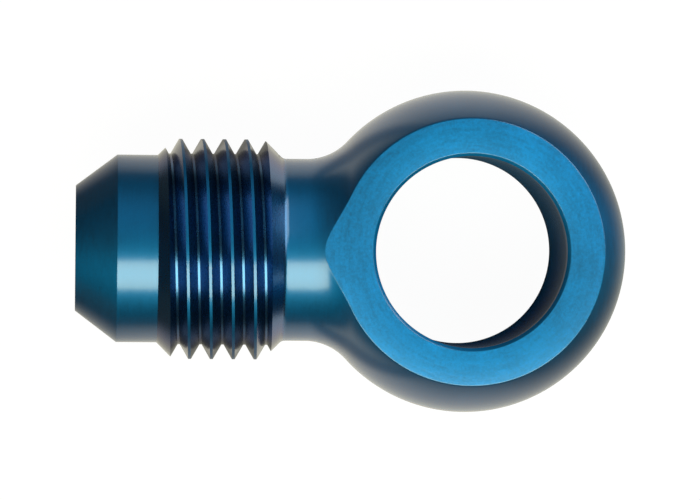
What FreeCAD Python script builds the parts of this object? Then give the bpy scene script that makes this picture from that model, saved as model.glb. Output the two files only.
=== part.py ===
import FreeCAD, Part
import math
import os

from FreeCAD import Vector

# Banjo fitting: a ball-turned eye for a hollow bolt, with a 37 degree flared hose end on its stem.
# One piece of bar stock, turned, milled flat on two sides, bored both ways and threaded.
# Millimetres. The origin is the centre of the eye, +Z runs along the banjo bolt's bore and
# +X along the stem, out of the hose end.

# Eye
BALL_RADIUS = 10.4
EYE_THICKNESS = 12.0
BANJO_BORE_DIAMETER = 12.2
BANJO_BORE_CHAMFER = 0.2
FLAT_EDGE_RADIUS = 0.08

# Neck between the eye and the thread, turned a little below the thread's root
NECK_RELIEF = 0.28
NECK_FILLET_RADIUS = 3.6
NECK_STRAIGHT_LENGTH = 1.5
NECK_CORNER_RADIUS = 0.5

# External thread: 9/16 inch, 18 turns to the inch, 60 degree unified form, right-handed
THREAD_MAJOR_RADIUS = 7.1
THREAD_PITCH = 25.4 / 18
THREAD_FULL_LENGTH = 5.8
THREAD_FLANK_ANGLE = 30.0
THREAD_CREST_SHARE = 1 / 8
THREAD_ROOT_SHARE = 1 / 10
THREAD_CHAMFER_ANGLE = 45.0
THREAD_START_ANGLE = 109.0

# Hose end: a plain nose below the thread's root, and the cone that the hose's flare seats on
NOSE_RELIEF = 0.11
NOSE_LENGTH = 2.6
CONE_ANGLE = 37.0
CONE_END_WALL = 0.44
CONE_END_CHAMFER = 0.1

# Passage for the fluid, from the end of the cone into the eye
FLOW_BORE_DIAMETER = 7.2
FLOW_BORE_CHAMFER = 0.12

# How far a cutting tool runs past the metal it cuts
TOOL_OVERRUN = 1.0

# How near two places must be to count as the same one
SAME_PLACE = 0.001


def tangent(degrees):
    return math.tan(math.radians(degrees))


# Half widths of the thread's groove, and the radii that follow from it
GROOVE_HALF_ROOT = THREAD_PITCH * THREAD_ROOT_SHARE / 2
GROOVE_HALF_MOUTH = THREAD_PITCH * (1 - THREAD_CREST_SHARE) / 2
GROOVE_DEPTH = (GROOVE_HALF_MOUTH - GROOVE_HALF_ROOT) / tangent(THREAD_FLANK_ANGLE)
THREAD_ROOT_RADIUS = THREAD_MAJOR_RADIUS - GROOVE_DEPTH
NECK_RADIUS = THREAD_ROOT_RADIUS - NECK_RELIEF
NOSE_RADIUS = THREAD_ROOT_RADIUS - NOSE_RELIEF
CONE_END_RADIUS = FLOW_BORE_DIAMETER / 2 + CONE_END_WALL

# Places along the stem, each worked out from the one before it
FILLET_CENTRE_RADIUS = NECK_RADIUS + NECK_FILLET_RADIUS
FILLET_CENTRE_X = math.sqrt((BALL_RADIUS + NECK_FILLET_RADIUS) ** 2 - FILLET_CENTRE_RADIUS ** 2)
NECK_END_X = FILLET_CENTRE_X + NECK_STRAIGHT_LENGTH
FLAT_END_X = NECK_END_X - NECK_CORNER_RADIUS * tangent(THREAD_CHAMFER_ANGLE / 2)
THREAD_BACK_X = NECK_END_X + (THREAD_MAJOR_RADIUS - NECK_RADIUS) / tangent(THREAD_CHAMFER_ANGLE)
THREAD_FRONT_X = THREAD_BACK_X + THREAD_FULL_LENGTH
NOSE_BACK_X = THREAD_FRONT_X + (THREAD_MAJOR_RADIUS - NOSE_RADIUS) / tangent(THREAD_CHAMFER_ANGLE)
CONE_BACK_X = NOSE_BACK_X + NOSE_LENGTH
CONE_END_X = CONE_BACK_X + (NOSE_RADIUS - CONE_END_RADIUS) / tangent(CONE_ANGLE)


def rounded_corner(before, corner, after, radius):
    """Start, middle and end of the arc that rounds the corner between two straight edges."""
    back = (before - corner).normalize()
    ahead = (after - corner).normalize()
    half_angle = back.getAngle(ahead) / 2
    inward = (back + ahead).normalize()
    setback = radius / math.tan(half_angle)
    reach = radius / math.sin(half_angle) - radius
    return corner + back * setback, corner + inward * reach, corner + ahead * setback


def turned_stem():
    """The stem, from the middle of the ball out: neck, plain threaded length, nose and cone."""
    centre = Vector(0, 0, 0)
    fillet_centre = Vector(FILLET_CENTRE_X, 0, FILLET_CENTRE_RADIUS)
    fillet_start = Vector(fillet_centre).normalize() * BALL_RADIUS
    fillet_end = Vector(FILLET_CENTRE_X, 0, NECK_RADIUS)
    fillet_side = (fillet_start + fillet_end - fillet_centre * 2).normalize()
    fillet_middle = fillet_centre + fillet_side * NECK_FILLET_RADIUS
    neck_end = Vector(NECK_END_X, 0, NECK_RADIUS)
    thread_back = Vector(THREAD_BACK_X, 0, THREAD_MAJOR_RADIUS)
    thread_front = Vector(THREAD_FRONT_X, 0, THREAD_MAJOR_RADIUS)
    nose_back = Vector(NOSE_BACK_X, 0, NOSE_RADIUS)
    cone_back = Vector(CONE_BACK_X, 0, NOSE_RADIUS)
    cone_end = Vector(CONE_END_X, 0, CONE_END_RADIUS)
    end_centre = Vector(CONE_END_X, 0, 0)

    neck_corner = rounded_corner(fillet_end, neck_end, thread_back, NECK_CORNER_RADIUS)
    chamfer_back = cone_end + (cone_back - cone_end).normalize() * CONE_END_CHAMFER
    chamfer_front = cone_end + (end_centre - cone_end).normalize() * CONE_END_CHAMFER
    outline = [
        Part.LineSegment(centre, fillet_start),
        Part.Arc(fillet_start, fillet_middle, fillet_end),
        Part.LineSegment(fillet_end, neck_corner[0]),
        Part.Arc(*neck_corner),
        Part.LineSegment(neck_corner[2], thread_back),
        Part.LineSegment(thread_back, thread_front),
        Part.LineSegment(thread_front, nose_back),
        Part.LineSegment(nose_back, cone_back),
        Part.LineSegment(cone_back, chamfer_back),
        Part.LineSegment(chamfer_back, chamfer_front),
        Part.LineSegment(chamfer_front, end_centre),
        Part.LineSegment(end_centre, centre),
    ]
    section = Part.Face(Part.Wire([curve.toShape() for curve in outline]))
    return section.revolve(centre, Vector(1, 0, 0), 360)


def thread_groove():
    """The groove that the threading tool leaves, running out into the air at both ends."""
    # The tool stands proud of the crest by half of the way to where neighbouring turns would meet
    widening = THREAD_PITCH * THREAD_CREST_SHARE / 4
    outer_radius = THREAD_MAJOR_RADIUS + widening / tangent(THREAD_FLANK_ANGLE)
    tool = Part.makePolygon([
        Vector(THREAD_ROOT_RADIUS, 0, -GROOVE_HALF_ROOT),
        Vector(outer_radius, 0, -GROOVE_HALF_MOUTH - widening),
        Vector(outer_radius, 0, GROOVE_HALF_MOUTH + widening),
        Vector(THREAD_ROOT_RADIUS, 0, GROOVE_HALF_ROOT),
        Vector(THREAD_ROOT_RADIUS, 0, -GROOVE_HALF_ROOT),
    ])
    helix = Part.Wire(Part.makeHelix(THREAD_PITCH, THREAD_PITCH, THREAD_ROOT_RADIUS))
    one_turn = helix.makePipeShell([tool], True, True)
    # At some sizes the sweep comes out with its faces turned inward
    if one_turn.Volume < 0:
        one_turn.reverse()
    turns = []
    for number in range(math.ceil((NOSE_BACK_X - NECK_END_X) / THREAD_PITCH) + 2):
        turn = one_turn.copy()
        turn.translate(Vector(0, 0, number * THREAD_PITCH))
        turns.append(turn)
    groove = turns[0].fuse(turns[1:]).removeSplitter()
    # The helix is made about Z: turn it to its start angle, then lay its axis along the stem
    groove.rotate(Vector(0, 0, 0), Vector(0, 0, 1), THREAD_START_ANGLE)
    groove.rotate(Vector(0, 0, 0), Vector(1, 1, 1), 120)
    groove.translate(Vector(NECK_END_X - THREAD_PITCH, 0, 0))
    return groove


def bore_cutter(radius, chamfer, low, high):
    """A drill along Z from low to high, with a 45 degree countersink at the high end."""
    countersunk = radius + chamfer + TOOL_OVERRUN
    outline = Part.makePolygon([
        Vector(0, 0, low),
        Vector(radius, 0, low),
        Vector(radius, 0, high - chamfer),
        Vector(countersunk, 0, high + TOOL_OVERRUN),
        Vector(0, 0, high + TOOL_OVERRUN),
        Vector(0, 0, low),
    ])
    return Part.Face(outline).revolve(Vector(0, 0, 0), Vector(0, 0, 1), 360)


def flat_cutter():
    """The milling cutter's path over one side of the eye, as far as the straight neck goes."""
    width = 2 * (BALL_RADIUS + TOOL_OVERRUN)
    height = BALL_RADIUS + TOOL_OVERRUN - EYE_THICKNESS / 2
    length = BALL_RADIUS + TOOL_OVERRUN + FLAT_END_X
    corner = Vector(-BALL_RADIUS - TOOL_OVERRUN, -width / 2, EYE_THICKNESS / 2)
    return Part.makeBox(length, width, height, corner)


def both_sides(cutter):
    """A cutter for the upper side of the eye, and the same one turned over for the lower side."""
    lower = cutter.copy()
    lower.rotate(Vector(0, 0, 0), Vector(1, 0, 0), 180)
    return [cutter, lower]


def flat_outline(faced):
    """The outer edges of both flats, but for the step that the cutter leaves where a neck is wider."""
    outline = []
    for edge in faced.Edges:
        middle = edge.valueAt((edge.FirstParameter + edge.LastParameter) / 2)
        heights = [abs(point.z) for point in [middle] + [vertex.Point for vertex in edge.Vertexes]]
        on_flat = all(abs(height - EYE_THICKNESS / 2) < SAME_PLACE for height in heights)
        if on_flat and middle.x < FLAT_END_X - SAME_PLACE:
            outline.append(edge)
    return outline


def fitting_body():
    """The finished fitting: both sides of the eye faced and bored, stem drilled and threaded."""
    banjo_bore = bore_cutter(BANJO_BORE_DIAMETER / 2, BANJO_BORE_CHAMFER, 0, EYE_THICKNESS / 2)
    flow_bore = bore_cutter(FLOW_BORE_DIAMETER / 2, FLOW_BORE_CHAMFER, 0, CONE_END_X)
    flow_bore.rotate(Vector(0, 0, 0), Vector(0, 1, 0), 90)

    turned = Part.makeSphere(BALL_RADIUS).fuse(turned_stem())
    faced = turned.cut(both_sides(flat_cutter()))
    eased = faced.makeFillet(FLAT_EDGE_RADIUS, flat_outline(faced))
    bored = eased.cut(both_sides(banjo_bore) + [flow_bore])
    return bored.cut(thread_groove()).removeSplitter()


if __name__ == "__main__":
    os.makedirs("parts", exist_ok=True)
    body = fitting_body()
    body.exportStep("parts/fitting_body.step")
    print("solids", len(body.Solids), "valid", body.isValid(), "volume", round(body.Volume, 2))
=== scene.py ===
"""A blue anodised banjo fitting, seen from above on a white table under soft studio light."""
import logging
import math
from dataclasses import dataclass, field
from enum import Enum

import bmesh
import bpy
from mathutils import Matrix, Vector


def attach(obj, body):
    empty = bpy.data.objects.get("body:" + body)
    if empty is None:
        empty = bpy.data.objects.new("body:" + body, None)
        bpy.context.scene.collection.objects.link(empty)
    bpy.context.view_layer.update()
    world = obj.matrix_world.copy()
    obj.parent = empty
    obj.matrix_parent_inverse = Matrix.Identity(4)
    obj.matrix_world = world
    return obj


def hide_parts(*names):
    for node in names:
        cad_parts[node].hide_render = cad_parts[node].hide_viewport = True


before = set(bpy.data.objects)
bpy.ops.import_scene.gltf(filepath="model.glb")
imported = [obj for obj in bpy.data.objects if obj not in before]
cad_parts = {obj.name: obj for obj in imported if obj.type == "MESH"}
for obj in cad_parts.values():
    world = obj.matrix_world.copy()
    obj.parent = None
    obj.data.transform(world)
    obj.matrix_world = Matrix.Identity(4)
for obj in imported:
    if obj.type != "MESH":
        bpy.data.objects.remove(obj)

log = logging.getLogger("banjo_fitting")

# The sizes of the fitting are in millimetres, as a drawing gives them. Blender's are in metres.
MM = 0.001

# Points this near to each other, in metres, are one point
SAME_POINT = 1e-7

Outline = list[tuple[float, float]]


class Zone(Enum):
    """The ways the metal was worked. The value is the zone's place in the material slots."""

    TURNED = 0
    FACED = 1
    BORED = 2
    THREADED = 3


class ToolPath(Enum):
    """The way the tool travelled, which its marks lie across, by the axis that the work turned about."""

    ALONG_STEM = "X"
    ALONG_BORE = "Z"
    OUT_FROM_BORE = "out from Z"


@dataclass
class Patch:
    """A grid of points with one finish."""

    rows: list[list[Vector]]
    zone: Zone


def rounded(corners: list[tuple[float, float, float]], steps: int) -> Outline:
    """Rounds the corners of an open outline.

    Args:
        corners: place along the axis, radius about it and rounding of each corner, in mm. A rounding
            of 0 leaves the corner sharp.
        steps: straight runs in each rounding.

    Returns:
        The outline's points in order.
    """
    points = []
    for index, (x, r, rounding) in enumerate(corners):
        corner = Vector((x, r))
        if rounding == 0:
            points.append((x, r))
            continue
        back = (Vector(corners[index - 1][:2]) - corner).normalized()
        ahead = (Vector(corners[index + 1][:2]) - corner).normalized()
        half_angle = back.angle(ahead) / 2
        centre = corner + (back + ahead).normalized() * rounding / math.sin(half_angle)
        start = (corner + back * rounding / math.tan(half_angle) - centre).normalized()
        end = (corner + ahead * rounding / math.tan(half_angle) - centre).normalized()
        for step in range(steps + 1):
            points.append(tuple(centre + start.slerp(end, step / steps) * rounding))
    return points


def mesh_from_patches(name: str, patches: list[Patch]) -> bpy.types.Mesh:
    """Joins grids of points into one closed mesh.

    Args:
        name: the mesh's name.
        patches: the grids, in mm, whose borders share their points.

    Returns:
        The mesh, in metres, with its faces outwards.
    """
    shell = bmesh.new()
    for patch in patches:
        rows = [[shell.verts.new(point * MM) for point in row] for row in patch.rows]
        for near, far in zip(rows, rows[1:]):
            for corners in zip(near, near[1:], far[1:], far):
                face = shell.faces.new(corners)
                face.material_index = patch.zone.value
                face.smooth = True
    bmesh.ops.remove_doubles(shell, verts=shell.verts, dist=SAME_POINT)
    bmesh.ops.recalc_face_normals(shell, faces=shell.faces)
    mesh = bpy.data.meshes.new(name)
    shell.to_mesh(mesh)
    shell.free()
    return mesh


def linked_object(name: str, data: bpy.types.ID) -> bpy.types.Object:
    """Puts a mesh, lamp or camera in the scene.

    Args:
        name: the object's name.
        data: what it holds.

    Returns:
        The object, at the origin.
    """
    placed = bpy.data.objects.new(name, data)
    bpy.context.scene.collection.objects.link(placed)
    return placed


class Shading:
    """A short way to write a material's or the world's nodes."""

    def __init__(self, owner: bpy.types.ID) -> None:
        """Empties the owner's node tree.

        Args:
            owner: the material or world.
        """
        owner.use_nodes = True
        self.tree = owner.node_tree
        self.tree.nodes.clear()

    def add(self, kind: str, inputs: dict | None = None, **settings: object) -> bpy.types.Node:
        """Adds a node.

        Args:
            kind: its type, without the leading ShaderNode.
            inputs: a value or an output socket for each input, by name or number.
            settings: its other properties.

        Returns:
            The node.
        """
        node = self.tree.nodes.new("ShaderNode" + kind)
        for name, value in settings.items():
            setattr(node, name, value)
        for name, value in (inputs or {}).items():
            if isinstance(value, bpy.types.NodeSocket):
                self.tree.links.new(value, node.inputs[name])
            else:
                node.inputs[name].default_value = value
        return node

    def maths(self, operation: str, *values: object) -> bpy.types.NodeSocket:
        """One sum on numbers.

        Args:
            operation: the Math node's operation.
            values: its numbers or sockets.

        Returns:
            The result's socket.
        """
        return self.add("Math", dict(enumerate(values)), operation=operation).outputs[0]

    def noise(self, place: bpy.types.NodeSocket, size: float, detail: float,
              roughness: float = 0.6) -> bpy.types.NodeSocket:
        """A noise that varies about a half.

        Args:
            place: the point's socket.
            size: the size of its largest spots.
            detail: how many times it is halved into finer spots.
            roughness: how strong each finer one is.

        Returns:
            The value's socket.
        """
        numbers = {"Vector": place, "Scale": 1 / size, "Detail": detail, "Roughness": roughness}
        return self.add("TexNoise", numbers).outputs[0]

    def ranged(self, value: object, low: float, high: float, at_low: float, at_high: float,
               smooth: bool = False) -> bpy.types.NodeSocket:
        """Maps a range of one number on to a range of another.

        Args:
            value: the number's socket.
            low: where the range starts.
            high: where it ends.
            at_low: the result at its start and before.
            at_high: the result at its end and after.
            smooth: whether it eases in and out.

        Returns:
            The result's socket.
        """
        numbers = {"Value": value, "From Min": low, "From Max": high, "To Min": at_low, "To Max": at_high}
        kind = "SMOOTHSTEP" if smooth else "LINEAR"
        return self.add("MapRange", numbers, interpolation_type=kind).outputs[0]


@dataclass(frozen=True)
class AnodisedFinish:
    """Blue anodised aluminium: dyed oxide over metal that a tool has marked.

    The oxide is the coat, and the metal under it takes the dye's colour. The tool's marks, a grain and a
    slow drift, or cloud, make the dye uneven. Sizes in mm.
    """

    name: str
    path: ToolPath
    colour: tuple[float, float, float] = (0.001, 0.188, 0.450)
    edge_colour: tuple[float, float, float] = (0.06, 0.075, 0.085)
    roughness: float = 0.58
    coat: float = 1.0
    coat_roughness: float = 0.20
    coat_ior: float = 1.76
    stretch: float = 0.30
    mark_spacing: float = 0.09
    mark_length: float = 1.6
    mark_depth: float = 0.0008
    grain_size: float = 0.12
    grain_depth: float = 0.0012
    cloud_size: float = 20 / 7
    dye_unevenness: float = 0.12
    roughness_unevenness: float = 0.1
    work_radius: float = 7.0

    def material(self) -> bpy.types.Material:
        """Builds the material, or returns the one already built."""
        made = bpy.data.materials.get(self.name)
        if made:
            return made
        made = bpy.data.materials.new(self.name)
        nodes = Shading(made)
        place = nodes.add("TexCoord").outputs["Object"]
        drawing = nodes.add("VectorMath", {0: place, "Scale": 1 / MM}, operation="SCALE").outputs[0]
        path, across = self.tool_path(nodes, drawing)

        marks = nodes.noise(path, 1.0, 3.0)
        grain = nodes.noise(drawing, self.grain_size, 2.0)
        cloud = nodes.noise(drawing, self.cloud_size, 3.0, 0.55)

        marked = nodes.add("Bump", {"Strength": 1.0, "Distance": self.mark_depth * MM, "Height": marks})
        grained = nodes.add("Bump", {"Strength": 1.0, "Distance": self.grain_depth * MM, "Height": grain,
                                     "Normal": marked.outputs[0]})
        uneven = nodes.maths("ADD", nodes.maths("MULTIPLY", nodes.maths("ADD", cloud, marks), 0.3),
                             nodes.maths("MULTIPLY", grain, 0.4))
        tint = nodes.ranged(uneven, 0.35, 0.65, 1 - self.dye_unevenness, 1 + self.dye_unevenness)
        dye = nodes.add("VectorMath", {0: self.colour, "Scale": tint}, operation="SCALE").outputs[0]
        rough = nodes.ranged(nodes.maths("ADD", marks, grain), 0.6, 1.4,
                             self.roughness * (1 - self.roughness_unevenness),
                             self.roughness * (1 + self.roughness_unevenness))
        metal = nodes.add("BsdfPrincipled", {
            "Base Color": dye, "Metallic": 1.0, "Roughness": rough, "Normal": grained.outputs[0],
            "Anisotropic": self.stretch, "Tangent": across, "Specular Tint": (*self.edge_colour, 1.0),
            "Coat Weight": self.coat, "Coat Roughness": self.coat_roughness, "Coat IOR": self.coat_ior,
            "Coat Normal": grained.outputs[0],
        })
        nodes.add("OutputMaterial", {"Surface": metal.outputs[0]})
        return made

    def tool_path(self, nodes: Shading, drawing: bpy.types.NodeSocket) -> tuple[bpy.types.NodeSocket, ...]:
        """Where each point lies on the tool's path.

        Args:
            nodes: the material's nodes.
            drawing: the point, in mm.

        Returns:
            The place's socket, 1 for each mark across the path and 1 for each mark's length round the work,
            and the socket of the direction across the marks.
        """
        axis = self.path.value[-1]
        along = [float(name == axis) for name in "XYZ"]
        outward = nodes.add("VectorMath", {0: drawing, 1: [1 - part for part in along]},
                            operation="MULTIPLY").outputs[0]
        radius = nodes.add("VectorMath", {0: outward}, operation="LENGTH").outputs["Value"]
        out = nodes.add("VectorMath", {0: outward}, operation="NORMALIZE").outputs[0]
        if self.path is ToolPath.OUT_FROM_BORE:
            travel, across = radius, out
        else:
            travel = nodes.add("SeparateXYZ", {0: drawing}).outputs[axis]
            across = nodes.add("CombineXYZ", dict(enumerate(along))).outputs[0]
        forward = nodes.add("VectorMath", {0: along, "Scale": nodes.maths("DIVIDE", travel, self.mark_spacing)},
                            operation="SCALE").outputs[0]
        around = nodes.add("VectorMath", {0: out, "Scale": self.work_radius / self.mark_length},
                           operation="SCALE").outputs[0]
        return nodes.add("VectorMath", {0: forward, 1: around}, operation="ADD").outputs[0], across


FINISHES = {
    Zone.TURNED: AnodisedFinish("turned_blue_anodised", ToolPath.ALONG_STEM, roughness=0.58, stretch=0.4),
    # Painted light: the flats' blue is brighter than the turned blue because the flats face the light; their marks,
    # grain and roughness are real
    Zone.FACED: AnodisedFinish("faced_anodised_painted_light", ToolPath.OUT_FROM_BORE, colour=(0.001, 0.238, 0.610),
                               roughness=0.52, stretch=0.3, coat_roughness=0.25, mark_spacing=0.20, mark_length=1.5,
                               mark_depth=0.0030, grain_size=0.16, dye_unevenness=0.25),
    Zone.BORED: AnodisedFinish("bored_blue_anodised", ToolPath.ALONG_BORE, roughness=0.60),
    # Painted shade: the thread's grooves and chamfers take a darker blue than the turned metal, for shade in the
    # grooves; their smoother finish is real
    Zone.THREADED: AnodisedFinish("threaded_anodised_painted_shade", ToolPath.ALONG_STEM, colour=(0.001, 0.140, 0.350),
                                  roughness=0.28, grain_depth=0.0006),
}


@dataclass(frozen=True)
class ThreadForm:
    """A right-handed 60 degree thread, 18 turns to the inch. Sizes in mm and degrees."""

    major_radius: float = 7.1
    pitch: float = 25.4 / 18
    crest_share: float = 1 / 8
    root_share: float = 1 / 10
    flank_angle: float = 30.0
    start_angle: float = 109.0

    @property
    def root_width(self) -> float:
        """The groove's width at its bottom."""
        return self.pitch * self.root_share

    @property
    def mouth_width(self) -> float:
        """The groove's width between two crests."""
        return self.pitch * (1 - self.crest_share)

    @property
    def depth(self) -> float:
        """The groove's depth below the crests."""
        return (self.mouth_width - self.root_width) / 2 / math.tan(math.radians(self.flank_angle))

    @property
    def root_radius(self) -> float:
        """The radius that the groove leaves."""
        return self.major_radius - self.depth


@dataclass
class Stem:
    """The turned stem: neck, plain threaded length, nose and cone. Sizes in mm and degrees."""

    ball_radius: float
    thread: ThreadForm = field(default_factory=ThreadForm)
    neck_relief: float = 0.28
    fillet_radius: float = 3.6
    neck_length: float = 1.5
    neck_corner: float = 0.5
    thread_length: float = 5.8
    nose_relief: float = 0.11
    nose_length: float = 2.6
    cone_angle: float = 37.0
    cone_end_radius: float = 4.04
    edge_break: float = 0.06
    corner_steps: int = 4

    @property
    def neck_radius(self) -> float:
        """The neck's radius, below the thread's root."""
        return self.thread.root_radius - self.neck_relief

    @property
    def nose_radius(self) -> float:
        """The nose's radius, below the thread's root."""
        return self.thread.root_radius - self.nose_relief

    @property
    def fillet_centre(self) -> tuple[float, float]:
        """The place along the stem and radius of the centre of the fillet between ball and neck."""
        radius = self.neck_radius + self.fillet_radius
        return math.sqrt((self.ball_radius + self.fillet_radius) ** 2 - radius ** 2), radius

    @property
    def neck_end(self) -> float:
        """Where the neck meets the thread's back chamfer."""
        return self.fillet_centre[0] + self.neck_length

    @property
    def nose_back(self) -> float:
        """Where the thread's front chamfer meets the nose."""
        rise = 2 * self.thread.major_radius - self.neck_radius - self.nose_radius
        return self.neck_end + rise + self.thread_length

    @property
    def end(self) -> float:
        """The end of the cone."""
        fall = (self.nose_radius - self.cone_end_radius) / math.tan(math.radians(self.cone_angle))
        return self.nose_back + self.nose_length + fall

    def zone(self, x: float) -> Zone:
        """The finish at a place along the stem: the threading tool also cuts the thread's two chamfers."""
        back = self.neck_end + self.thread.major_radius - self.neck_radius
        front = self.nose_back - self.thread.major_radius + self.nose_radius
        on_chamfer = self.neck_end < x < back or front < x < self.nose_back
        return Zone.THREADED if on_chamfer else Zone.TURNED

    def outline(self) -> Outline:
        """The stem's outline from the end of the fillet to the middle of its end face."""
        major = self.thread.major_radius
        cone_back = self.nose_back + self.nose_length
        return rounded([
            (self.fillet_centre[0], self.neck_radius, 0),
            (self.neck_end, self.neck_radius, self.neck_corner),
            (self.neck_end + major - self.neck_radius, major, self.edge_break),
            (self.nose_back - major + self.nose_radius, major, self.edge_break),
            (self.nose_back, self.nose_radius, self.edge_break),
            (cone_back, self.nose_radius, self.edge_break),
            (self.end, self.cone_end_radius, self.edge_break),
            (self.end, 0, 0),
        ], self.corner_steps)


@dataclass
class Station:
    """A place along the turned outline where the edge of the milled flat crosses it.

    It has the outline's place and radius, its outward direction, and the place and radius of the centre
    of the edge's rounding, in mm.
    """

    x: float
    radius: float
    normal_x: float
    normal_out: float
    edge_x: float
    edge_radius: float


@dataclass
class Blank:
    """The fitting before it is drilled and threaded: ball and stem, with two flats and the cross bore.

    Sizes in mm. The ball and the stem are turned about X, and the outer surface follows that turned
    outline. The flats' outline is walked by its polar angle about the bore, so that the edge's rounding,
    the flat and the bore share their points.
    """

    stem: Stem
    thickness: float = 12.0
    bore_radius: float = 6.1
    bore_chamfer: float = 0.2
    edge_rounding: float = 0.08
    bore_edge_rounding: float = 0.07
    around_bore: int = 96
    around_stem: int = 72
    cap_rows: int = 24
    fillet_rows: int = 6
    wall_rows: int = 5
    edge_steps: int = 4
    halvings: int = 40

    @property
    def edge_height(self) -> float:
        """The height of the centre of the edge's rounding."""
        return self.thickness / 2 - self.edge_rounding

    def ball_station(self, polar: float) -> Station:
        """The outline on the ball.

        Args:
            polar: angle about the bore, in radians.

        Returns:
            The station there.
        """
        inner = self.stem.ball_radius - self.edge_rounding
        x = math.sqrt(inner ** 2 - self.edge_height ** 2) * math.cos(polar)
        radius = math.sqrt(inner ** 2 - x ** 2)
        outer = self.stem.ball_radius / inner
        return Station(x * outer, radius * outer, x / inner, radius / inner, x, radius)

    def fillet_station(self, turn: float) -> Station:
        """The outline on the fillet.

        Args:
            turn: angle about the fillet's centre, in radians.

        Returns:
            The station there.
        """
        x, radius = self.stem.fillet_centre
        along, out = math.cos(turn), math.sin(turn)
        fillet = self.stem.fillet_radius
        inner = fillet + self.edge_rounding
        return Station(x + along * fillet, radius + out * fillet, -along, -out, x + along * inner, radius + out * inner)

    def edge_reach(self, station: Station) -> float:
        """How far the flat reaches from the stem's axis at a station."""
        return math.sqrt(max(station.edge_radius ** 2 - self.edge_height ** 2, 0))

    def edge_polar(self, station: Station) -> float:
        """The polar angle about the bore of the flat's edge at a station."""
        return math.atan2(self.edge_reach(station), station.edge_x)

    def stations(self) -> list[Station]:
        """The stations from the back of the eye to the tip of the flats, evenly turned about the bore."""
        x, radius = self.stem.fillet_centre
        joint = math.atan2(radius, x) + math.pi
        tip = math.pi + math.asin((radius - self.edge_height) / (self.stem.fillet_radius + self.edge_rounding))
        joint_polar = self.edge_polar(self.fillet_station(joint))
        found = []
        for step in range(self.around_bore + 1):
            polar = math.pi * (1 - step / self.around_bore)
            if polar >= joint_polar:
                found.append(self.ball_station(polar))
                continue
            low, high = joint, tip
            for _ in range(self.halvings):
                middle = (low + high) / 2
                if self.edge_polar(self.fillet_station(middle)) > polar:
                    low = middle
                else:
                    high = middle
            found.append(self.fillet_station(high))
        return found

    def skin_row(self, x: float, radius: float, reach: float, side: int) -> list[Vector]:
        """Half a ring of the turned surface.

        Args:
            x: its place along the stem.
            radius: its radius.
            reach: how far it goes up and down from the side, in radians.
            side: 1 for the +Y half, -1 for the other.

        Returns:
            Its points from bottom to top.
        """
        angles = (reach * (2 * step / self.around_stem - 1) for step in range(self.around_stem + 1))
        return [Vector((x, side * radius * math.cos(angle), radius * math.sin(angle))) for angle in angles]

    def skin(self, stations: list[Station], side: int) -> list[Patch]:
        """One half of the outer turned surface, from the back of the ball to the end of the stem."""
        quarter = math.pi / 2
        back = math.atan2(stations[0].normal_out, stations[0].normal_x)
        tip = math.atan2(-stations[-1].normal_out, -stations[-1].normal_x) % (2 * math.pi)
        rows = []
        for step in range(self.cap_rows):
            turn = math.pi + (back - math.pi) * step / self.cap_rows
            ball = self.stem.ball_radius
            rows.append(self.skin_row(ball * math.cos(turn), ball * math.sin(turn), quarter, side))
        for station in stations:
            reach = math.asin(min(self.edge_height / station.edge_radius, 1))
            rows.append(self.skin_row(station.x, station.radius, reach, side))
        for step in range(1, self.fillet_rows):
            turn = tip + (1.5 * math.pi - tip) * step / self.fillet_rows
            station = self.fillet_station(turn)
            rows.append(self.skin_row(station.x, station.radius, quarter, side))
        for point in self.stem.outline():
            rows.append(self.skin_row(*point, quarter, side))
        patches = []
        for near, far in zip(rows, rows[1:]):
            zone = self.stem.zone((near[0].x + far[0].x) / 2)
            if patches and patches[-1].zone is zone:
                patches[-1].rows.append(far)
            else:
                patches.append(Patch([near, far], zone))
        return patches

    def flat_edge(self, stations: list[Station], side: int, up: int) -> Patch:
        """The rounding between the turned surface and a flat, on one half."""
        rows = []
        for station in stations:
            reach, height = self.edge_reach(station), self.edge_height
            out = station.normal_out / station.edge_radius
            start = Vector((station.normal_x, side * out * reach, up * out * height))
            centre = Vector((station.edge_x, side * reach, up * height))
            turns = (start.slerp(Vector((0, 0, up)), step / self.edge_steps) for step in range(self.edge_steps + 1))
            rows.append([centre + turn * self.edge_rounding for turn in turns])
        return Patch(rows, Zone.TURNED)

    def bore_outline(self) -> Outline:
        """Radius and height from the flat, over the chamfer, down to the middle of the bore's wall."""
        top = self.thickness / 2
        corners = rounded([
            (self.bore_radius + 2 * self.bore_chamfer, top, 0),
            (self.bore_radius + self.bore_chamfer, top, self.bore_edge_rounding),
            (self.bore_radius, top - self.bore_chamfer, self.bore_edge_rounding),
            (self.bore_radius, 0, 0),
        ], self.edge_steps)[1:-1]
        foot = corners[-1][1]
        wall = [(self.bore_radius, foot * (1 - step / self.wall_rows)) for step in range(1, self.wall_rows + 1)]
        return corners + wall

    def face_and_bore(self, stations: list[Station], side: int, up: int) -> list[Patch]:
        """A flat and its half of the bore, on one half."""
        outline = self.bore_outline()
        face, bore = [], []
        for step, station in enumerate(stations):
            polar = math.pi * (1 - step / self.around_bore)
            wall = [Vector((radius * math.cos(polar), side * radius * math.sin(polar), up * height))
                    for radius, height in outline]
            edge = Vector((station.edge_x, side * self.edge_reach(station), up * self.thickness / 2))
            face.append([edge, wall[0]])
            bore.append(wall)
        return [Patch(face, Zone.FACED), Patch(bore, Zone.BORED)]

    def mesh(self) -> bpy.types.Mesh:
        """The closed blank."""
        stations = self.stations()
        patches = []
        for side in (1, -1):
            patches.extend(self.skin(stations, side))
            for up in (1, -1):
                patches.append(self.flat_edge(stations, side, up))
                patches.extend(self.face_and_bore(stations, side, up))
        return mesh_from_patches("blank", patches)


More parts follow.
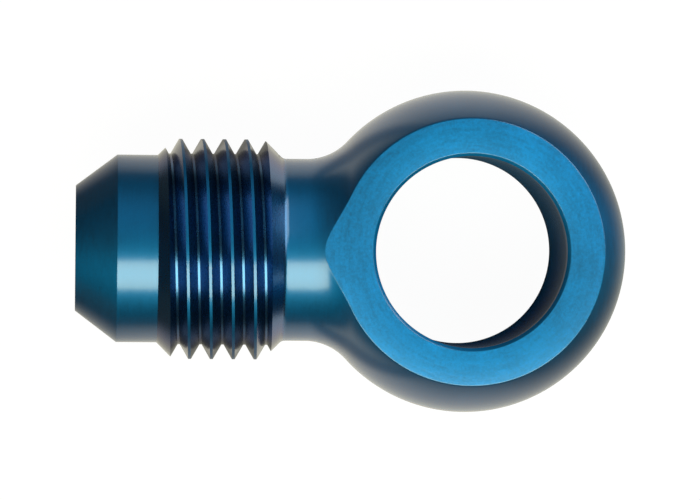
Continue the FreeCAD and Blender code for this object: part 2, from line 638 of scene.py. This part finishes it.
@dataclass
class FlowDrill:
    """The drill that bores the stem from its end into the eye, with its countersink. Sizes in mm."""

    end: float
    radius: float = 3.6
    countersink: float = 0.12
    overrun: float = 1.0
    around: int = 96

    def mesh(self) -> bpy.types.Mesh:
        """The space that the drill takes up."""
        wide = self.radius + self.countersink + self.overrun
        outline = [(0, 0), (0, self.radius), (self.end - self.countersink, self.radius),
                   (self.end + self.overrun, wide), (self.end + self.overrun, 0)]
        turns = [2 * math.pi * step / self.around for step in range(self.around + 1)]
        rows = [[Vector((x, r * math.cos(turn), r * math.sin(turn))) for turn in turns] for x, r in outline]
        return mesh_from_patches("flow_drill", [Patch(rows, Zone.TURNED)])


@dataclass
class ThreadTool:
    """The threading tool's path, a helical groove made by Geometry Nodes. Sizes in mm and degrees."""

    thread: ThreadForm
    start: float
    finish: float
    around: int = 144
    overshoot: float = 0.08

    def tree(self) -> bpy.types.NodeTree:
        """The node tree: a spiral carries the groove's section, and the result is laid along the stem."""
        tree = bpy.data.node_groups.new("helical_groove", "GeometryNodeTree")
        sockets = tree.interface
        for name, kind in (("Steps per turn", "Int"), ("Turns", "Float"), ("Pitch", "Float"), ("Root radius", "Float"),
                           ("Root width", "Float"), ("Mouth width", "Float"), ("Depth", "Float"),
                           ("Turn", "Rotation"), ("Start", "Vector"), ("Finish", "Material")):
            sockets.new_socket(name, in_out="INPUT", socket_type="NodeSocket" + kind)
        sockets.new_socket("Groove", in_out="OUTPUT", socket_type="NodeSocketGeometry")
        asked = tree.nodes.new("NodeGroupInput").outputs

        def node(kind: str, inputs: dict, **settings: object) -> bpy.types.Node:
            """Adds a node with its inputs, by name, and its other properties."""
            made = tree.nodes.new(kind)
            for name, value in settings.items():
                setattr(made, name, value)
            for name, value in inputs.items():
                if isinstance(value, bpy.types.NodeSocket):
                    tree.links.new(value, made.inputs[name])
                else:
                    made.inputs[name].default_value = value
            return made

        height = node("ShaderNodeMath", {0: asked["Pitch"], 1: asked["Turns"]}, operation="MULTIPLY")
        half_depth = node("ShaderNodeMath", {0: asked["Depth"], 1: 0.5}, operation="MULTIPLY")
        outward = node("ShaderNodeCombineXYZ", {"X": half_depth.outputs[0]})
        spiral = node("GeometryNodeCurveSpiral", {
            "Resolution": asked["Steps per turn"], "Rotations": asked["Turns"], "Start Radius": asked["Root radius"],
            "End Radius": asked["Root radius"], "Height": height.outputs[0], "Reverse": True})
        path = node("GeometryNodeSetCurveNormal", {"Curve": spiral.outputs[0]}, mode="Z_UP")
        section = node("GeometryNodeCurvePrimitiveQuadrilateral", {
            "Height": asked["Depth"], "Bottom Width": asked["Root width"], "Top Width": asked["Mouth width"],
            "Offset": 0.0}, mode="TRAPEZOID")
        standing = node("GeometryNodeTransform", {
            "Geometry": section.outputs[0], "Rotation": (0, 0, -math.pi / 2), "Translation": outward.outputs[0]})
        groove = node("GeometryNodeCurveToMesh", {
            "Curve": path.outputs[0], "Profile Curve": standing.outputs[0], "Fill Caps": True})
        laid = node("GeometryNodeTransform", {
            "Geometry": groove.outputs[0], "Rotation": asked["Turn"], "Translation": asked["Start"]})
        real = node("GeometryNodeRealizeInstances", {"Geometry": laid.outputs[0]})
        dressed = node("GeometryNodeSetMaterial", {"Geometry": real.outputs[0], "Material": asked["Finish"]})
        node("NodeGroupOutput", {"Groove": dressed.outputs[0]})
        return tree

    def cutter(self) -> bpy.types.Object:
        """The groove as an object whose modifier makes it."""
        thread = self.thread
        # The section stands proud of the crests, as wide there as the flanks' slope makes it
        widening = 2 * self.overshoot * math.tan(math.radians(thread.flank_angle))
        lay = Matrix(((0, 0, 1), (1, 0, 0), (0, 1, 0))) @ Matrix.Rotation(math.radians(thread.start_angle), 3, "Z")
        values = {
            "Steps per turn": self.around,
            "Turns": float(math.ceil((self.finish - self.start) / thread.pitch) + 2),
            "Pitch": thread.pitch * MM,
            "Root radius": thread.root_radius * MM,
            "Root width": thread.root_width * MM,
            "Mouth width": (thread.mouth_width + widening) * MM,
            "Depth": (thread.depth + self.overshoot) * MM,
            "Turn": lay.to_euler(),
            "Start": ((self.start - thread.pitch) * MM, 0, 0),
            # The groove takes the threaded material, with its painted shade
            "Finish": FINISHES[Zone.THREADED].material(),
        }
        cutter = linked_object("thread_tool", bpy.data.meshes.new("thread_tool"))
        modifier = cutter.modifiers.new("helical_groove", "NODES")
        modifier.node_group = self.tree()
        for item in modifier.node_group.interface.items_tree:
            if item.name in values:
                modifier[item.identifier] = values[item.name]
        return cutter


@dataclass
class BanjoFitting:
    """The whole fitting, cut from its blank."""

    ball_radius: float = 10.4
    sharp_from: float = 40.0

    def build(self) -> bpy.types.Object:
        """Turns, faces, bores, drills and threads the fitting.

        Returns:
            The finished piece, dressed and riding on the frame.
        """
        stem = Stem(self.ball_radius)
        body = linked_object("blank", Blank(stem).mesh())
        for zone in Zone:
            body.data.materials.append(FINISHES[zone].material())
        drill = linked_object("flow_drill", FlowDrill(stem.end).mesh())
        drill.data.materials.append(FINISHES[Zone.TURNED].material())
        tool = ThreadTool(stem.thread, stem.neck_end, stem.nose_back).cutter()
        for cutter in (drill, tool):
            cut = body.modifiers.new(cutter.name, "BOOLEAN")
            cut.operation = "DIFFERENCE"
            cut.solver = "MANIFOLD"
            cut.object = cutter
            cut.material_mode = "TRANSFER"
        depsgraph = bpy.context.evaluated_depsgraph_get()
        mesh = bpy.data.meshes.new_from_object(body.evaluated_get(depsgraph), depsgraph=depsgraph)
        for spent in (body, drill, tool):
            bpy.data.objects.remove(spent)
        mesh.shade_smooth()
        mesh.set_sharp_from_angle(angle=math.radians(self.sharp_from))
        fitting = linked_object("banjo_fitting", mesh)
        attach(fitting, "root")
        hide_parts("fitting_body")
        return fitting


@dataclass(frozen=True)
class Softbox:
    """A soft rectangular light.

    It leans from straight up by its two angles, in degrees, towards +X and towards +Y. Its size, in metres,
    is along the stem and across it. At a level of 1 it would light white paper to white if it filled the sky.
    """

    name: str
    lean: tuple[float, float]
    size: tuple[float, float]
    level: float
    tint: tuple[float, float, float]
    distance: float = 0.32

    def lamp(self) -> bpy.types.Object:
        """The lamp, turned towards the fitting."""
        data = bpy.data.lights.new(self.name, "AREA")
        data.shape = "RECTANGLE"
        data.size, data.size_y = self.size
        data.energy = self.level * math.pi * self.size[0] * self.size[1]
        data.color = self.tint
        lamp = linked_object(self.name, data)
        direction = Vector((*(math.tan(math.radians(angle)) for angle in self.lean), 1)).normalized()
        across = direction.cross(Vector((1, 0, 0))).normalized()
        axes = Matrix((across.cross(direction), across, direction)).transposed().to_4x4()
        lamp.matrix_world = Matrix.Translation(direction * self.distance) @ axes
        return lamp


SOFTBOXES = (
    Softbox("main_softbox", (0.0, 32.5), (0.46, 0.21), 4.3, (0.97, 1.0, 0.73)),
    Softbox("fill_softbox", (-50.0, -44.0), (0.34, 0.32), 2.1, (1.0, 1.0, 0.95)),
)


@dataclass(frozen=True)
class PaintedPool:
    """A painted pool of light and shade on the paper round the fitting, an emission that only the metal's mirrored rays
    see.

    Each range is where a change starts and ends, in metres. 1 is white.
    """

    stem_run: float = 0.0148
    fading: tuple[float, float] = (0.004, 0.060)
    far_level: float = 0.02
    end_stretch: float = 2.56
    thread_place: float = 0.0153
    beside_thread: tuple[float, float] = (0.0015, 0.0050)
    thread_level: float = 0.30
    shade_edge: tuple[float, float] = (0.0060, 0.0078)
    bore_edge: tuple[float, float] = (0.0030, 0.0050)
    bore_level: float = 0.3

    def brightness(self, nodes: Shading) -> bpy.types.NodeSocket:
        """The painted brightness at each place.

        The painted glow is white beside the fitting, dimmer beside the thread, falls off sooner beyond the ends, and
        has painted shade beneath the metal.

        Args:
            nodes: the paper's nodes.

        Returns:
            The brightness's socket.
        """
        place = nodes.add("SeparateXYZ", {0: nodes.add("TexCoord").outputs["Object"]}).outputs
        half = self.stem_run / 2
        from_middle = nodes.maths("ABSOLUTE", nodes.maths("SUBTRACT", place["X"], half))
        beyond = nodes.maths("MAXIMUM", nodes.maths("SUBTRACT", from_middle, half), 0.0)

        def distance(along: bpy.types.NodeSocket, stretch: float) -> bpy.types.NodeSocket:
            """The distance from the stem's run, with the part along it stretched."""
            squares = [nodes.maths("POWER", nodes.maths("MULTIPLY", along, stretch), 2.0),
                       nodes.maths("POWER", place["Y"], 2.0)]
            return nodes.maths("SQRT", nodes.maths("ADD", *squares))

        # Painted light: the glow fades away from the fitting, sooner beyond its ends
        fading = nodes.ranged(distance(beyond, self.end_stretch), *self.fading, 1.0, self.far_level, smooth=True)
        from_thread = nodes.maths("ABSOLUTE", nodes.maths("SUBTRACT", place["X"], self.thread_place))
        # Painted shade: the glow is dimmer beside the thread
        beside_thread = nodes.ranged(from_thread, *self.beside_thread, self.thread_level, 1.0, smooth=True)
        # Painted shade beneath the metal, with a dimmer painted glow in the middle of the bore
        outside = nodes.ranged(distance(beyond, 1.0), *self.shade_edge, 0.0, 1.0, smooth=True)
        in_bore = nodes.ranged(distance(place["X"], 1.0), *self.bore_edge, self.bore_level, 0.0, smooth=True)
        lit = nodes.maths("MULTIPLY", fading, beside_thread)
        return nodes.maths("MULTIPLY", lit, nodes.maths("MAXIMUM", outside, in_bore))


@dataclass
class Studio:
    """The white table, the soft lights and the camera above. Sizes in metres and degrees."""

    # The painted pool of light and shade that the metal mirrors in the paper
    painted_pool: PaintedPool = field(default_factory=PaintedPool)
    table_tilt: float = 2.92
    table_point: tuple[float, float, float] = (0.01304, 0.0, -0.00712)
    table_radius: float = 0.9
    paper_seen: float = 0.965
    # Warm tint of the painted pool, seen only in reflections
    painted_reflection_tint: tuple[float, float, float] = (1.0, 0.96, 0.80)
    paper_shadow: float = 0.06
    paper_bounce: float = 0.05
    room_low: float = 0.03
    room_high: float = 0.06
    view_tilt: tuple[float, float] = (3.4, -0.45)
    lens: float = 238.6
    distance: float = 0.300
    roll: float = 0.53
    target: tuple[float, float, float] = (0.00742, -0.00002, 0.0)

    @property
    def up(self) -> Vector:
        """The direction straight up from the table."""
        return Vector((math.sin(math.radians(self.table_tilt)), 0, math.cos(math.radians(self.table_tilt))))

    def table(self) -> bpy.types.Object:
        """A round table top that the fitting lies on."""
        shape = bmesh.new()
        bmesh.ops.create_circle(shape, cap_ends=True, segments=96, radius=self.table_radius)
        turn = self.up.to_track_quat("Z", "Y").to_matrix().to_4x4()
        shape.transform(Matrix.Translation(self.table_point) @ turn)
        mesh = bpy.data.meshes.new("table")
        shape.to_mesh(mesh)
        shape.free()
        mesh.materials.append(self.paper())
        table = linked_object("table", mesh)
        return table

    def paper(self) -> bpy.types.Material:
        """White paper that keeps a faint shadow, with a painted pool of light and shade round the fitting that only
        mirrored rays see.
        """
        made = bpy.data.materials.new("white_paper")
        made.cycles.emission_sampling = "NONE"
        nodes = Shading(made)
        ray = nodes.add("LightPath").outputs
        # Mirrored rays see the painted pool of light and shade, tinted warm; the camera sees plain white with a faint
        # real shadow
        mirrored = nodes.maths("MAXIMUM", ray["Is Glossy Ray"], ray["Is Transmission Ray"])
        seen = nodes.maths("MULTIPLY", ray["Is Camera Ray"], self.paper_seen)
        painted_pool = nodes.maths("MULTIPLY", mirrored, self.painted_pool.brightness(nodes))
        tint = nodes.add("Mix", {"Factor": mirrored, 6: (1, 1, 1, 1), 7: (*self.painted_reflection_tint, 1)},
                         data_type="RGBA").outputs[2]
        glow = nodes.add("Emission", {"Color": tint, "Strength": nodes.maths("MAXIMUM", painted_pool, seen)})
        faint = nodes.add("BsdfDiffuse", {"Color": (*[self.paper_shadow] * 3, 1)})
        plain = nodes.add("BsdfDiffuse", {"Color": (*[self.paper_bounce] * 3, 1)})
        paper = nodes.add("MixShader", {0: ray["Is Camera Ray"], 1: plain.outputs[0], 2: faint.outputs[0]})
        lit = nodes.add("AddShader", {0: glow.outputs[0], 1: paper.outputs[0]})
        nodes.add("OutputMaterial", {"Surface": lit.outputs[0]})
        return made

    def room(self) -> bpy.types.World:
        """A dim grey room, a little lighter overhead, which the camera sees as white."""
        world = bpy.data.worlds.new("grey_room")
        bpy.context.scene.world = world
        nodes = Shading(world)
        ray = nodes.add("LightPath").outputs
        look = nodes.add("TexCoord").outputs["Generated"]
        height = nodes.add("SeparateXYZ", {0: look}).outputs["Z"]
        room = nodes.ranged(height, -0.1, 0.7, self.room_low, self.room_high, smooth=True)
        seen = nodes.maths("MAXIMUM", room, ray["Is Camera Ray"])
        back = nodes.add("Background", {"Color": (1, 1, 1, 1), "Strength": seen})
        nodes.add("OutputWorld", {"Surface": back.outputs[0]})
        return world

    def camera(self) -> bpy.types.Object:
        """The camera straight above the table, with the hose end to the left."""
        lens = bpy.data.cameras.new("camera")
        lens.sensor_width = 36.0
        lens.lens = self.lens
        lens.clip_start = 0.01
        lens.clip_end = 10.0
        camera = linked_object("camera", lens)
        roll = math.radians(self.roll)
        along, across = (math.tan(math.radians(angle)) for angle in self.view_tilt)
        back = Vector((along, across, 1)).normalized()
        right = Vector((math.sin(roll), -math.cos(roll), 0)).cross(back).normalized()
        axes = Matrix((right, back.cross(right), back)).transposed().to_4x4()
        camera.matrix_world = Matrix.Translation(Vector(self.target) + back * self.distance) @ axes
        bpy.context.scene.camera = camera
        return camera


def corners(box: tuple[Vector, Vector]) -> list[list[float]]:
    """A box's two corners as plain lists of numbers."""
    return [list(corner) for corner in box]


def main() -> None:
    """Builds the fitting and the studio."""
    logging.basicConfig(level=logging.INFO, format="%(name)s: %(message)s")
    bpy.context.scene.view_settings.view_transform = "Standard"
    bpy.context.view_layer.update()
    fitting = BanjoFitting().build()
    log.info("%s: %d faces, %d materials", fitting.name, len(fitting.data.polygons), len(fitting.data.materials))
    studio = Studio()
    log.info("table: %s", studio.table().name)
    for softbox in SOFTBOXES:
        log.info("light: %s", softbox.lamp().name)
    log.info("room: %s", studio.room().name)
    log.info("camera: %s", studio.camera().name)


if __name__ == "__main__":
    main()
